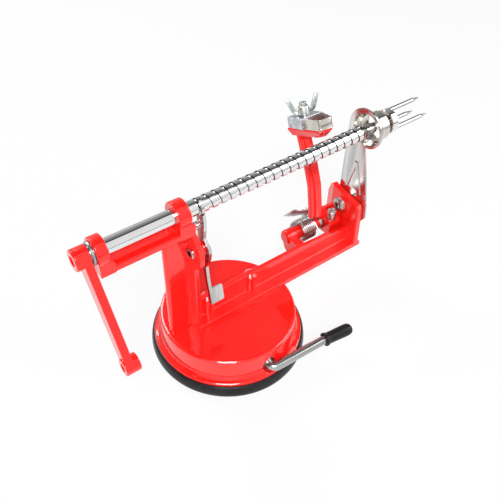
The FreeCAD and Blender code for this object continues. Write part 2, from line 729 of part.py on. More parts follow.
def arm_foot():
    """Hub, stop lug and the bridge from the hub up to the arm's blade."""
    barrel = rod_x(ARM_BARREL_R, ARM_BARREL_X0, ARM_FOOT_X0 + 1, PIVOT_Y, PIVOT_Z)
    foot = plate_yz(
        [
            (8.6, 34.0), (8.6, 44.6), (9.8, 47.4), (16.4, 48.8), (16.6, 57.0), (18.6, 57.0),
            (23.6, 48.0), (26.6, 41.5), (23.2, 35.6), (20.0, 34.0),
        ],
        ARM_FOOT_X0, ARM_FOOT_X1,
    )
    foot = rounded(foot, 0.8)
    bridge_x1 = ARM_FOOT_X0 + 0.2
    bridge = plate_xz(
        [(87.0, 56.6), (92.4, 61.5), (bridge_x1, 57.0), (bridge_x1, 50.6), (94.0, 50.6)], 12.5, 18.6
    )
    screw_head_room = block(ARM_FOOT_X1 - 2.0, ARM_FOOT_X1 + 1, 5.0, 30.0, 49.0, 60.0)
    return joined(barrel, foot.cut(screw_head_room), bridge)


def peeling_arm():
    blade = rounded(plate_yz(arm_outline(0.0), ARM_X0, ARM_X1), 0.9)
    ridge = rounded(plate_yz(arm_outline(ARM_RIDGE_T), ARM_X0 + 3.4, ARM_X1 - 3.4), 0.7)
    arm = joined(blade, ridge, arm_foot(), tray())
    stud_z = 1.0 - CLAMP_H - TRAY_T
    arm = arm.cut(on_head(rod_z(CLAMP_STUD_R, stud_z, 1.0 - CLAMP_H, CLAMP_STUD_U, CLAMP_STUD_V)))
    arm = arm.cut(rod_x(PIVOT_PIN_R + 0.05, ARM_BARREL_X0 - 1, ARM_FOOT_X1 + 1, PIVOT_Y, PIVOT_Z))
    return arm.cut(rod_z(STOP_SCREW_R + 0.05, DISC_Z, 60.0, STOP_SCREW_X, STOP_SCREW_Y))


def pivot_pin():
    """Pin with a flat head on the far side of the arm's hub."""
    shank = rod_x(PIVOT_PIN_R, LUG_X0 + 2.2, ARM_FOOT_X1, PIVOT_Y, PIVOT_Z)
    head = rod_x(PIVOT_PIN_R + 1.8, ARM_FOOT_X1 + 0.2, ARM_FOOT_X1 + 0.9, PIVOT_Y, PIVOT_Z)
    collar = rod_x(PIVOT_PIN_R, ARM_FOOT_X1 - 1, ARM_FOOT_X1 + 0.3, PIVOT_Y, PIVOT_Z)
    return joined(shank, collar, head)


def adjusting_screw():
    """Stop screw whose point just clears the beam's flange."""
    shank = rod_z(STOP_SCREW_R, DISC_Z + BEAM_FLANGE_T + 0.35, 53.6, STOP_SCREW_X, STOP_SCREW_Y)
    head = rod_z(STOP_SCREW_R + 0.5, 53.0, 55.2, STOP_SCREW_X, STOP_SCREW_Y)
    head = softened(head, 0.8, lambda e: e.BoundBox.ZMin > 55)
    slot = block(STOP_SCREW_X - 5, STOP_SCREW_X + 5, STOP_SCREW_Y - 0.5, STOP_SCREW_Y + 0.5, 54.2, 56)
    return joined(shank, head).cut(slot)


def clamp_block():
    """Zinc block on the tray, its far rear corner cut off."""
    outline = [(0, 0), (0, -CLAMP_D), (CLAMP_W, -CLAMP_D), (CLAMP_W, -5.0), (10.0, 0)]
    body = plate_xy(outline, -CLAMP_H, 0)
    body = softened(body, 0.5, lambda e: e.BoundBox.ZMin > -0.1)
    return on_head(body.cut(rod_z(CLAMP_STUD_R + 0.05, -CLAMP_H - 1, 1.0, CLAMP_STUD_U, CLAMP_STUD_V)))


def clamp_stud():
    """Stud screwed into the tray, up through the block and the wing nut."""
    stud = rod_z(CLAMP_STUD_R, 1.0 - CLAMP_H - TRAY_T, 8.6, CLAMP_STUD_U, CLAMP_STUD_V)
    return on_head(softened(stud, 0.5, lambda e: e.BoundBox.ZMin > 8))


def wing_nut():
    """Tapered hub with two wings that spread up and outward."""
    z0 = 0.05
    hub = softened(Part.makeCone(4.8, 3.9, 6.2, vec(0, 0, z0)), 0.6, lambda e: e.BoundBox.ZMin > 6)
    wing = [(2.4, 0.8), (4.4, 1.0), (10.5, 9.0), (11.1, 11.0), (9.8, 12.4), (7.8, 11.8), (2.4, 6.0)]
    parts = [hub]
    for turn in (0, 180):
        blade = softened(plate_xz(wing, -1.1, 1.1), 0.5, lambda e: e.BoundBox.YLength < 0.1)
        blade.rotate(vec(0, 0, 0), vec(0, 0, 1), turn)
        parts.append(blade)
    nut = joined(*parts).cut(rod_z(CLAMP_STUD_R, z0 - 1, 14.0, 0, 0))
    nut.rotate(vec(0, 0, 0), vec(0, 0, 1), WING_TURN)
    nut.translate(vec(CLAMP_STUD_U, CLAMP_STUD_V, 0))
    return on_head(nut)


def peeling_blade():
    """Steel strip bent to a loop: back along the block, out to the cutting end and back."""
    y1 = -CLAMP_D
    outer = [(1.4, y1), (2.7, y1 - 14.1), (12.9, y1 - 15.5), (CLAMP_W + 0.2, y1)]
    inner = [
        (1.4 + STRIP_T, y1 - STRIP_T), (2.7 + STRIP_T, y1 - 14.1 + STRIP_T),
        (12.9 - STRIP_T * 0.9, y1 - 15.5 + STRIP_T), (CLAMP_W + 0.2 - STRIP_T, y1 - STRIP_T),
    ]
    top = -0.15
    loop = softened(plate_xy(outer, top - STRIP_H, top), 1.6, upright_in_front)
    hollow = softened(plate_xy(inner, top - STRIP_H - 1, top + 1), 1.0, upright_in_front)
    return on_head(loop.cut(hollow))


def upright_in_front(edge):
    return edge.BoundBox.ZLength > 5 and edge.BoundBox.YMax < -CLAMP_D - 5


def arm_lock():
    """Steel strip curled round the arm's barrel, with a pointed thumb tab to the left."""
    inner_r = ARM_BARREL_R + 0.1
    outer_r = inner_r + 1.2
    curl = plate_yz(
        arc_points(PIVOT_Y, PIVOT_Z, outer_r, 215, 60, 20)
        + arc_points(PIVOT_Y, PIVOT_Z, inner_r, 60, 215, 20),
        94.6, 98.2,
    )
    lean = math.radians(55.0)
    foot_y = PIVOT_Y + inner_r * math.cos(math.radians(60))
    foot_z = PIVOT_Z + inner_r * math.sin(math.radians(60))
    outline = [
        (98.2, 0), (98.2, 2.0), (89.5, 10.4), (79.5, 11.6), (68.8, 10.9), (76.9, 7.7), (86.5, 5.2),
        (94.6, 2.6), (94.6, 0),
    ]
    points = []
    for x, s in outline:
        points.append(vec(x, foot_y + s * math.cos(lean), foot_z + s * math.sin(lean)))
    normal = vec(0, -math.sin(lean), math.cos(lean)) * 1.2
    sheet = closed_face(points).extrude(normal)
    return joined(curl, sheet)


# Slicer plate with its ring

def slicer_plate():
    """Arched plate with a slanted cutting edge, an embossed rib and a drain hole."""
    arch = arc_points(5.2, 124.0, 14.4, 0, 150, 20)
    rim = arc_points(SHAFT_Y, SHAFT_Z, RING_LIP_R + 1.1, 165, 262, 14)
    foot = [(2.6, 110.4), (-7.4, 67.0), (-8.4, 56.0), (-5.5, 51.5), (0.0, 50.0), (19.6, 50.0)]
    plate = plate_yz(arch + rim + foot, PLATE_X0, PLATE_X1)
    rib = []
    for foot_y in (13.6, 0.6):
        leg = plate_yz(
            [(6.4, 96.5), (9.0, 96.5), (foot_y + 1.3, 72.5), (foot_y - 1.3, 72.5)],
            PLATE_X0 - 0.7, PLATE_X0 + 0.2,
        )
        rib.append(softened(leg, 0.3, lambda e: e.BoundBox.XMax < PLATE_X0 - 0.6))
    plate = joined(plate, *rib)
    plate = plate.cut(rod_x(RING_LIP_R, PLATE_X0 - 2, PLATE_X1 + 2, SHAFT_Y, SHAFT_Z))
    plate = plate.cut(rod_x(PLATE_SCREW_R + 0.1, PLATE_X0 - 2, PLATE_X1 + 2, PLATE_SCREW_Y, PLATE_SCREW_Z))
    return plate.cut(rod_x(3.0, PLATE_X0 - 2, PLATE_X1 + 2, 5.9, 70.8))


def coring_ring():
    """Thin ring: a wide lip in the plate that narrows to a tube behind it."""
    lip_in = RING_LIP_R - RING_WALL
    tube_in = RING_R - RING_WALL
    profile = [
        (PLATE_X0 - 0.2, lip_in + 0.2), (PLATE_X0 - 0.2, RING_LIP_R), (PLATE_X1 + 0.8, RING_LIP_R),
        (120.0, RING_R), (RING_X1, RING_R), (RING_X1, tube_in), (119.7, tube_in),
        (PLATE_X1 + 0.6, lip_in),
    ]
    return turned_x(profile, SHAFT_Y, SHAFT_Z)


def plate_screw():
    """Pan-head screw with a cross recess, through the post and the plate."""
    head_x = POST_X0 - 2.6
    profile = [
        (head_x, 0), (head_x, 2.8), (head_x + 0.4, 4.1), (head_x + 1.2, 5.1), (POST_X0, 5.4),
        (POST_X0, PLATE_SCREW_R), (131.4, PLATE_SCREW_R), (132.0, PLATE_SCREW_R - 0.6), (132.0, 0),
    ]
    screw = turned_x(profile, PLATE_SCREW_Y, PLATE_SCREW_Z)
    for half_y, half_z in ((2.8, 0.6), (0.6, 2.8)):
        screw = screw.cut(block(
            head_x - 1, head_x + 1.5, PLATE_SCREW_Y - half_y, PLATE_SCREW_Y + half_y,
            PLATE_SCREW_Z - half_z, PLATE_SCREW_Z + half_z,
        ))
    return screw


def plate_nut():
    outline = arc_points(PLATE_SCREW_Y, PLATE_SCREW_Z, 4.6, 0, 300, 5)
    nut = plate_yz(outline, PLATE_X1, PLATE_X1 + 4.0)
    return nut.cut(rod_x(PLATE_SCREW_R, PLATE_X1 - 1, PLATE_X1 + 5, PLATE_SCREW_Y, PLATE_SCREW_Z))


# Suction base

def base_housing():
    """Inverted cup with a skirt, a guide tube and a bearing for the lever's barrel."""
    profile = [
        (0, 25.4), (0, DISC_Z), (44.2, DISC_Z), (45.2, 28.2), (45.9, 27.6), (46.2, 26.8),
        (47.0, 14.6), (47.5, 13.2), (48.6, 12.1), (50.2, 11.5), (50.8, 11.1), (51.0, 10.5),
        (51.0, 9.5), (49.2, 9.5), (49.2, 3.8),
        (46.6, 3.8), (46.6, 10.0), (42.6, 14.0), (42.2, 25.4),
    ]
    shell = turned_z(profile)
    guide = rod_z(9.5, 8.4, 26.0, 0, 0)
    barrel_boss = rod_y(7.3, -45.0, -7.5, 0, BARREL_AXIS_Z)
    housing = joined(shell, guide, barrel_boss)
    housing = housing.cut(rod_z(STUD_R + 0.06, 0, 25.4, 0, 0))
    housing = housing.cut(rod_y(CAM_BORE_R, -50.0, 0.0, 0, BARREL_AXIS_Z))
    for x in PILASTER_XS:
        housing = housing.cut(rod_z(BASE_SCREW_R + 0.15, 20, 30, x, SHAFT_Y))
    lever_groove = rod_x(4.4, 0.0, 40.0, -50.4, BARREL_AXIS_Z)
    scoop = Part.makeCylinder(14.0, 46.0, vec(-1.0, -60.2, 12.0), vec(0.83, 0.29, 0.46))
    return housing.cut(lever_groove.fuse(scoop.common(block(0, 40, -60, -20, 13, 25.2))))


def suction_pad():
    """Rubber disc whose thick rim wraps the housing's skirt and stands on the table."""
    profile = [
        (0, 0), (51.9, 0), (52.9, 0.8), (FOOT_R, 3.0), (52.4, 8.2), (51.6, 9.3), (49.3, 9.3),
        (49.3, 3.6), (46.4, 3.6), (45.4, PAD_T), (0, PAD_T),
    ]
    return turned_z(profile)


def pressure_plate():
    """Disc bonded on the pad's centre, riveted to the stud."""
    top = PAD_T + PRESSURE_PLATE_T
    return turned_z([(0, PAD_T), (30.0, PAD_T), (30.0, top - 0.8), (29.2, top), (0, top)])


def lift_stud():
    """Stud with a cross slot for the eccentric pin."""
    low_z = PAD_T + PRESSURE_PLATE_T
    pin_z = BARREL_AXIS_Z - ECCENTRICITY
    stud = rod_z(STUD_R, low_z, 21.8, 0, 0)
    half = CAM_PIN_R + 0.4
    slot_r = half + ECCENTRICITY
    slot = block(-slot_r, slot_r, -8.5, 8.5, pin_z - half, pin_z + half)
    return stud.cut(slot)


def cam_barrel():
    """Barrel in the housing's bearing, with a pin off its axis and a socket for the rod."""
    barrel = rod_y(CAM_BARREL_R, -46.4, -7.6, 0, BARREL_AXIS_Z)
    pin = rod_y(CAM_PIN_R, -8.0, 5.6, 0, BARREL_AXIS_Z - ECCENTRICITY)
    return joined(barrel, pin).cut(rod_y(SUCTION_ROD_R, -50, -34.0, 0, BARREL_AXIS_Z))


def lever_tip_direction():
    return (LEVER_TIP - LEVER_BEND).normalize()


def suction_lever():
    """Round rod that leaves the base, turns along it and ends in the cap."""
    inner_end = vec(0, -34.0, BARREL_AXIS_Z)
    corner = vec(0, -50.6, BARREL_AXIS_Z)
    rod = tube(bent_path([inner_end, corner, LEVER_BEND], 4.2), SUCTION_ROD_R, inner_end, vec(0, -1, 0))
    tip = Part.makeCylinder(SUCTION_ROD_R, 17.8, LEVER_BEND, lever_tip_direction())
    elbow = Part.makeSphere(SUCTION_ROD_R, LEVER_BEND)
    return joined(rod, elbow, tip)


def lever_cap():
    """Rubber cap with a collar at its mouth and a domed end."""
    along = lever_tip_direction()
    start = LEVER_BEND + along * 2.0
    body = Part.makeCylinder(CAP_R, 17.0, start + along, along)
    dome = Part.makeSphere(CAP_R, start + along * 18.0)
    collar = Part.makeCylinder(CAP_R + 0.5, 2.2, start, along)
    cap = joined(body, dome, collar)
    return cap.cut(Part.makeCylinder(SUCTION_ROD_R, 17.0, start - along, along))


def base_screws():
    """Two screws from below, their heads under the housing's disc."""
    screws = []
    for x in PILASTER_XS:
        shank = rod_z(BASE_SCREW_R, 25.0, 41.0, x, SHAFT_Y)
        head = rod_z(3.4, 22.9, 25.38, x, SHAFT_Y)
        screws.append(joined(shank, head))
    return Part.makeCompound(screws)


NODES = {
    "frame_casting": frame_casting,
    "base_housing": base_housing,
    "base_screws": base_screws,
    "suction_pad": suction_pad,
    "pressure_plate": pressure_plate,
    "lift_stud": lift_stud,
    "cam_barrel": cam_barrel,
    "suction_lever": suction_lever,
    "lever_cap": lever_cap,
    "feed_shaft": feed_shaft,
    "crank_arm": crank_arm,
    "thrust_washer": thrust_washer,
    "fork_hub": fork_hub,
    "fork_pins": fork_pins,
    "release_lever": release_lever,
    "release_rivet": release_rivet,
    "release_spring": release_spring,
    "peeling_arm": peeling_arm,
    "pivot_pin": pivot_pin,
    "adjusting_screw": adjusting_screw,
    "arm_torsion_spring": arm_torsion_spring,
    "arm_lock": arm_lock,
    "clamp_block": clamp_block,
    "clamp_stud": clamp_stud,
    "wing_nut": wing_nut,
    "peeling_blade": peeling_blade,
    "slicer_plate": slicer_plate,
    "coring_ring": coring_ring,
    "plate_screw": plate_screw,
    "plate_nut": plate_nut,
}

os.makedirs("parts", exist_ok=True)
for name, make in NODES.items():
    solid = make()
    solid.exportStep("parts/" + name + ".step")
    print(name, "valid", solid.isValid(), "solids", len(solid.Solids), "volume", round(solid.Volume, 1))
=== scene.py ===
# %% [markdown]
# # A hand cranked apple peeler
#
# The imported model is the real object's metalwork: casting, crank, feed screw, arm and plate.
# This lesson dresses it. It sets the camera, the light and a finish for every metal, and it
# models by hand the pieces whose shape a plain solid can't carry: the two springs, the rubber
# foot and grip, the wing nut, the blade and the thumb lock.
# Everything is in metres, and +X runs along the shaft to the fork.

# %% Load the frame
import bpy
import bmesh
import json
import math
from mathutils import Matrix, Vector


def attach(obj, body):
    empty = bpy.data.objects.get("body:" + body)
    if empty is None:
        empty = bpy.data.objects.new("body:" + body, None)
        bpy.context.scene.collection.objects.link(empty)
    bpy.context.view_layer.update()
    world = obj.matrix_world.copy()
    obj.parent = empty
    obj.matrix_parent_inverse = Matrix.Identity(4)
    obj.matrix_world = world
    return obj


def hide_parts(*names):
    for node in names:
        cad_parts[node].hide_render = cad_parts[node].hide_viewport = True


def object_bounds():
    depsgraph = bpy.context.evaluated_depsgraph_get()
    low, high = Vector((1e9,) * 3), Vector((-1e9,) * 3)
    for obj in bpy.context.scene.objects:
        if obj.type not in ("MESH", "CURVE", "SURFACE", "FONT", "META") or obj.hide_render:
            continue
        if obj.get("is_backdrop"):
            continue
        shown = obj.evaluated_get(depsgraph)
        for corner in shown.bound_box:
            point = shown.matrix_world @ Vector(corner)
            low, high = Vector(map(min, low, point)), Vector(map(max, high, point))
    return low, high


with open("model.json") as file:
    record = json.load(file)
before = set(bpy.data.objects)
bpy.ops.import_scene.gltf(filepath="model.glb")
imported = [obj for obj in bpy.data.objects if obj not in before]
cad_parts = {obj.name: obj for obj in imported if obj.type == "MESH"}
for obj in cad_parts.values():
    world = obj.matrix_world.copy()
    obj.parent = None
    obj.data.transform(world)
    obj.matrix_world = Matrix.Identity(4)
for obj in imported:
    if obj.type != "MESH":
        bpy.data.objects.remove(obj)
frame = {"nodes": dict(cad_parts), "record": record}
cad_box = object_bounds()
MM = 0.001

# %% [markdown]
# ## Camera
#
# The photograph looks down on the peeler from the crank's side. A camera is placed by the
# point that it looks at, the direction from there back to the camera, and its distance.
# That is easier to adjust than a position and three angles. A small turn about the line of
# sight and a small shift bring the picture's centre to where the photograph has it.

# %% Camera
target = Vector((4.90, 10.27, 84.70)) * MM
azimuth = math.radians(-34.56)
elevation = math.radians(42.67)
distance = 387.6 * MM
back = Vector((
    math.sin(azimuth) * math.cos(elevation),
    -math.cos(azimuth) * math.cos(elevation),
    math.sin(elevation),
))
camera_data = bpy.data.cameras.new("camera")
camera_data.sensor_width = 36.0
camera_data.lens = 44.14
camera_data.shift_x = 0.0515
camera_data.shift_y = -0.0308
camera_data.clip_start = 0.01
camera = bpy.data.objects.new("camera", camera_data)
bpy.context.scene.collection.objects.link(camera)
turn = (-back).to_track_quat("-Z", "Y").to_matrix().to_4x4()
roll = Matrix.Rotation(math.radians(-0.57), 4, "Z")
camera.matrix_world = Matrix.Translation(target + back * distance) @ turn @ roll
bpy.context.scene.camera = camera
bpy.context.scene.view_settings.view_transform = "Standard"
print("camera at", [round(v, 3) for v in camera.location])

# %% [markdown]
# ## Shader maths
#
# A finish is a small graph of nodes. Wiring each Math node by hand is slow to read, so one
# class wraps an output socket and lets it be used in a sum: writing 1 - mask * 0.5 adds the
# nodes. Every other node comes from one method of the tree, which takes the node's type, its
# settings and the values or links of its sockets. The sky and the floor use it too.

# %% A socket that can be calculated with
class Value:
    """An output socket of a node tree, to be used in Python expressions."""

    def __init__(self, graph, socket):
        self.graph = graph
        self.socket = socket

    def maths(self, operation, first, second):
        return self.graph.node("ShaderNodeMath", {"operation": operation}, {0: first, 1: second})

    def __add__(self, other):
        return self.maths("ADD", self, other)

    def __radd__(self, other):
        return self.maths("ADD", other, self)

    def __sub__(self, other):
        return self.maths("SUBTRACT", self, other)

    def __rsub__(self, other):
        return self.maths("SUBTRACT", other, self)

    def __mul__(self, other):
        return self.maths("MULTIPLY", self, other)

    def __rmul__(self, other):
        return self.maths("MULTIPLY", other, self)

    def root(self):
        return self.maths("SQRT", self, 0.0)

    def larger(self, other):
        return self.maths("MAXIMUM", self, other)


class Graph:
    """A node tree to which nodes are added with their settings and inputs in one call."""

    def __init__(self, tree):
        self.tree = tree

    def feed(self, socket, value):
        if isinstance(value, Value):
            self.tree.links.new(value.socket, socket)
        else:
            socket.default_value = value

    def node(self, kind, settings, inputs, output=0):
        made = self.tree.nodes.new(kind)
        for key, value in settings.items():
            setattr(made, key, value)
        for key, value in inputs.items():
            self.feed(made.inputs[key], value)
        return Value(self, made.outputs[output])


# %% [markdown]
# ## A finish
#
# A Principled shader covers paint, metal, rubber and plastic. Its unchanging numbers are set
# on the sockets, and only colour, roughness and the surface's small relief vary. Patterns are
# read in object coordinates, which for every piece here are the object's own metres, so a
# grain has the same size wherever it appears.

# %% A material with its shader and its patterns
class Finish(Graph):
    """A procedural material: a Principled shader and what feeds it."""

    def __init__(self, name, **constants):
        self.slot = name
        self.material = bpy.data.materials.new(name)
        self.material.use_nodes = True
        super().__init__(self.material.node_tree)
        self.shader = self.tree.nodes["Principled BSDF"]
        for socket, value in constants.items():
            self.shader.inputs[socket.replace("_", " ")].default_value = value
        self.place = self.node("ShaderNodeTexCoord", {}, {}, "Object")

    def noise(self, scale, detail=3.0, stretch=(1, 1, 1), roughness=0.55):
        """Cloudy noise from 0 to 1; scale is in features per metre."""
        place = self.place
        if stretch != (1, 1, 1):
            place = self.node("ShaderNodeMapping", {}, {"Vector": place, "Scale": stretch})
        inputs = {"Vector": place, "Scale": scale, "Detail": detail, "Roughness": roughness}
        return self.node("ShaderNodeTexNoise", {}, inputs)

    def ramp(self, value, low, high):
        """The value stretched so that low becomes 0 and high becomes 1, and clamped."""
        inputs = {"Value": value, "From Min": low, "From Max": high}
        return self.node("ShaderNodeMapRange", {"clamp": True}, inputs)

    def blend(self, factor, first, second):
        """A mix of two colours; each is three numbers or a calculated colour."""
        tints = [tint if isinstance(tint, Value) else (*tint, 1.0) for tint in (first, second)]
        return self.node("ShaderNodeMix", {"data_type": "RGBA"}, {0: factor, 6: tints[0], 7: tints[1]}, 2)

    def colour(self, value):
        self.feed(self.shader.inputs["Base Color"], value)

    def roughness(self, value):
        self.feed(self.shader.inputs["Roughness"], value)

    def relief(self, height, depth):
        """Small bumps: depth is their height in metres."""
        bump = self.node("ShaderNodeBump", {}, {"Height": height, "Distance": depth}, "Normal")
        self.feed(self.shader.inputs["Normal"], bump)


# %% [markdown]
# ## Red enamel
#
# The casting, the base, the crank and the arm are die castings with a thick glossy coat of
# red stoving enamel. The coat has a slight orange peel, very shallow and some two
# millimetres wide, that makes reflections wander. A clear layer over the colour gives the
# gloss, because a single glossy layer would look like plastic film.

# %% Red enamel
enamel = Finish("red_enamel", Coat_Weight=0.75, Coat_Roughness=0.04, Specular_IOR_Level=0.2)
cloud = enamel.noise(38.0, 2.0)
enamel.colour(enamel.blend(enamel.ramp(cloud, 0.3, 0.7), (0.86, 0.008, 0.006), (0.92, 0.014, 0.009)))
speck = enamel.noise(1400.0, 2.0)
enamel.roughness(0.17 + enamel.ramp(speck, 0.55, 0.8) * 0.08)
enamel.relief(enamel.noise(420.0, 1.5), 0.00006)
print("red_enamel", len(enamel.tree.nodes), "nodes")

# %% [markdown]
# ## Chrome
#
# The feed shaft and the fork hub are ground, then chromed. Chrome mirrors its surroundings
# almost perfectly. What tells it from a perfect mirror is the faint trace of the grinding,
# rings round the shaft, and a few cloudy smudges that widen the reflection. The thread's
# steep flanks are painted dark grey, a painted shade that stands in for the shade in its
# grooves. A flank lies between the thread's root and its crest, so the distance from the shaft's axis finds
# it.

# %% Chrome
chrome = Finish("chromed_steel", Metallic=1.0)
smudge = chrome.noise(90.0, 4.0)
shaft_y = 3.7 * MM
shaft_z = 124.1 * MM
root_radius = 4.3 * MM
crest_radius = 4.885 * MM
edge = 0.06 * MM
across = chrome.node("ShaderNodeSeparateXYZ", {}, {0: chrome.place}, "Y") - shaft_y
above = chrome.node("ShaderNodeSeparateXYZ", {}, {0: chrome.place}, "Z") - shaft_z
reach = (across * across + above * above).root()
past_root = chrome.ramp(reach, root_radius - edge, root_radius + edge)
past_crest = chrome.ramp(reach, crest_radius - edge, crest_radius + edge)
# Painted shade: this mask marks the thread's flanks, which are coloured dark to stand in for the shade in
# the grooves.
painted_flank_shade = past_root * (1 - past_crest)
unshaded_chrome = chrome.blend(smudge, (0.70, 0.70, 0.71), (0.80, 0.80, 0.80))
# Painted shade: the flanks get a dark grey in place of the chrome's own tint.
chrome.colour(chrome.blend(painted_flank_shade, unshaded_chrome, (0.16, 0.16, 0.17)))
rings = chrome.noise(60.0, 2.0, (60.0, 1.0, 1.0))
chrome.roughness(0.05 + chrome.ramp(smudge, 0.45, 0.75) * 0.06 + rings * 0.03)
chrome.relief(rings, 0.000004)
print("chromed_steel", len(chrome.tree.nodes), "nodes")

# %% [markdown]
# ## Sheet and bar steel
#
# Polished strip shows fine lines along the way it went under the belt. The same few
# nodes serve the lever, the slicing plate, the blade, the springs and the rods: only the
# tint, the direction of the lines and their strength change. So one function makes them all.

# %% Polished and drawn steels
def steel(name, dark, light, along, gloss, lines):
    """Bright steel with fine polishing lines along one axis, in broader soft bands."""
    finish = Finish(name, Metallic=1.0)
    grain = finish.noise(70.0, 5.0, tuple(1.0 if axis == along else 45.0 for axis in "XYZ"), 0.65)
    band = finish.noise(30.0, 2.0, tuple(0.3 if axis == along else 5.0 for axis in "XYZ"))
    cloud = finish.noise(60.0, 3.0)
    finish.colour(finish.blend(finish.ramp(0.3 * grain + 0.7 * band, 0.38, 0.62), dark, light))
    finish.roughness(gloss + grain * lines + finish.ramp(cloud, 0.5, 0.8) * 0.06)
    finish.relief(grain, 0.000006)
    print(name, len(finish.tree.nodes), "nodes")
    return finish


polished = steel("polished_steel", (0.44, 0.43, 0.42), (0.76, 0.75, 0.75), "Z", 0.10, 0.12)
drawn = steel("bright_steel", (0.34, 0.34, 0.34), (0.52, 0.52, 0.52), "X", 0.14, 0.10)
blade_steel = steel("blade_steel", (0.50, 0.47, 0.42), (0.70, 0.67, 0.61), "Z", 0.12, 0.12)
wire_steel = steel("spring_wire", (0.42, 0.41, 0.40), (0.60, 0.59, 0.58), "Y", 0.18, 0.12)

# %% [markdown]
# ## Bright zinc plating
#
# Screws, washer, pin, thumb lock and wing nut are zinc plated. Thin plating has a cold
# blue-grey cast that drifts to a faint straw where its passivation is thicker, so a noise
# chooses between two metal tints, and the crystals of the zinc break up the gloss.

# %% Zinc plating
zinc = Finish("zinc_steel", Metallic=1.0)
drift = zinc.noise(210.0, 3.0)
zinc.colour(zinc.blend(zinc.ramp(drift, 0.42, 0.62), (0.38, 0.43, 0.44), (0.62, 0.62, 0.58)))
crystal = zinc.node("ShaderNodeTexVoronoi", {}, {"Vector": zinc.place, "Scale": 2600.0}, "Distance")
zinc.roughness(0.18 + crystal * 0.16 + drift * 0.08)
zinc.relief(crystal, 0.000008)
print("zinc_steel", len(zinc.tree.nodes), "nodes")

# %% [markdown]
# ## Cast zinc alloy
#
# The clamp block is a small zinc casting, tumbled and not painted: satin grey, mottled, with
# a fine grain that the mould leaves. A rough metal with a mottled tint gives that, where a
# polished one would look machined.

# %% Cast zinc
casting = Finish("zinc_alloy", Metallic=1.0)
mottle = casting.noise(330.0, 4.0)
casting.colour(casting.blend(casting.ramp(mottle, 0.35, 0.68), (0.40, 0.42, 0.45), (0.66, 0.68, 0.71)))
grain = casting.noise(3800.0, 2.0)
casting.roughness(0.30 + mottle * 0.16 + grain * 0.08)
casting.relief(grain * 0.4 + mottle * 0.6, 0.00003)
print("zinc_alloy", len(casting.tree.nodes), "nodes")

# %% [markdown]
# ## Rubber and nylon
#
# The foot and the lever's grip are black rubber from a blasted mould: never quite black, a
# little dusty, with a fine even grain that keeps the shine broad. The lifting stud inside
# the base is natural nylon, a warm white that light enters a little way.

# %% Rubber and nylon
rubber = Finish("black_rubber", Specular_IOR_Level=0.2)
dust = rubber.noise(140.0, 4.0)
rubber.colour(rubber.blend(rubber.ramp(dust, 0.45, 0.8), (0.009, 0.009, 0.010), (0.024, 0.024, 0.025)))
pores = rubber.noise(3200.0, 2.0)
rubber.roughness(0.26 + dust * 0.12 + pores * 0.06)
rubber.relief(pores, 0.00004)
nylon = Finish("natural_nylon", Subsurface_Weight=0.15, Subsurface_Scale=0.001)
flow = nylon.noise(120.0, 3.0, (1.0, 1.0, 0.3))
nylon.colour(nylon.blend(flow, (0.74, 0.70, 0.62), (0.84, 0.81, 0.74)))
nylon.roughness(0.38 + flow * 0.15)
nylon.relief(flow, 0.00002)
print("black_rubber", len(rubber.tree.nodes), "nodes, natural_nylon", len(nylon.tree.nodes))

# %% [markdown]
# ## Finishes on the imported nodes
#
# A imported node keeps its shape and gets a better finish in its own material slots. The
# record names a slot for each node, so a dictionary from slot to finish dresses them all.

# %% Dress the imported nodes
finishes = {
    "red_enamel": enamel, "chromed_steel": chrome, "polished_steel": polished,
    "bright_steel": drawn, "blade_steel": blade_steel, "spring_wire": wire_steel,
    "zinc_steel": zinc, "zinc_alloy": casting, "black_rubber": rubber, "natural_nylon": nylon,
}
for subpart in frame["record"]["subparts"]:
    node = frame["nodes"][subpart["node"]]
    finish = finishes[subpart["material_slot"]]
    for slot in node.material_slots:
        slot.material = finish.material

# %% [markdown]
# ## Modelling by hand
#
# Every new piece starts as a primitive of the right size in the right place, and is then
# shaped in edit mode. Two helpers open and close that work. The first clears the selection,
# because an operator acts on all that is selected. The last one puts the piece's place into
# its mesh, smooths it and hands it to the body that it moves with. Those between them stand a
# piece in its place, apply a modifier and select what passes a test.

# %% Start and finish a piece
def start(add, name, **size):
    """Adds one primitive and opens it in edit mode, all of it selected."""
    for other in bpy.context.selected_objects:
        other.select_set(False)
    add(**size)
    piece = bpy.context.object
    piece.name = name
    piece.data.name = name
    bpy.ops.object.mode_set(mode="EDIT")
    return piece


def stand(piece, place):
    """Moves a piece that was modelled about the origin to its place."""
    bpy.ops.object.mode_set(mode="OBJECT")
    piece.matrix_world = place


def modify(piece, kind, **settings):
    """Adds one modifier and applies it."""
    bpy.ops.object.mode_set(mode="OBJECT")
    modifier = piece.modifiers.new(kind.lower(), kind)
    for key, value in settings.items():
        setattr(modifier, key, value)
    bpy.ops.object.modifier_apply(modifier=modifier.name)
    bpy.ops.object.mode_set(mode="EDIT")


def pick(piece, kind, test):
    """Selects the vertices, edges or faces in edit mode whose place passes the test."""
    bpy.ops.mesh.select_mode(type=kind)
    bpy.ops.mesh.select_all(action="DESELECT")
    mesh = bmesh.from_edit_mesh(piece.data)
    parts = {"VERT": mesh.verts, "EDGE": mesh.edges, "FACE": mesh.faces}[kind]
    for part in parts:
        if test(part):
            part.select_set(True)
    mesh.select_flush_mode()
    bmesh.update_edit_mesh(piece.data)


def settle(piece, finish, body, *nodes, angle):
    """Applies the piece's place, smooths it, and gives it its finish and its body."""
    bpy.ops.object.mode_set(mode="OBJECT")
    bpy.ops.object.transform_apply(location=True, rotation=True, scale=True)
    bpy.ops.object.shade_smooth_by_angle(angle=math.radians(angle))
    piece.data.materials.clear()
    piece.data.materials.append(finish.material)
    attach(piece, body)
    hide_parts(*nodes)
    size = [round(v * 1000, 1) for v in piece.dimensions]
    print(piece.name, "faces", len(piece.data.polygons), "size mm", size)

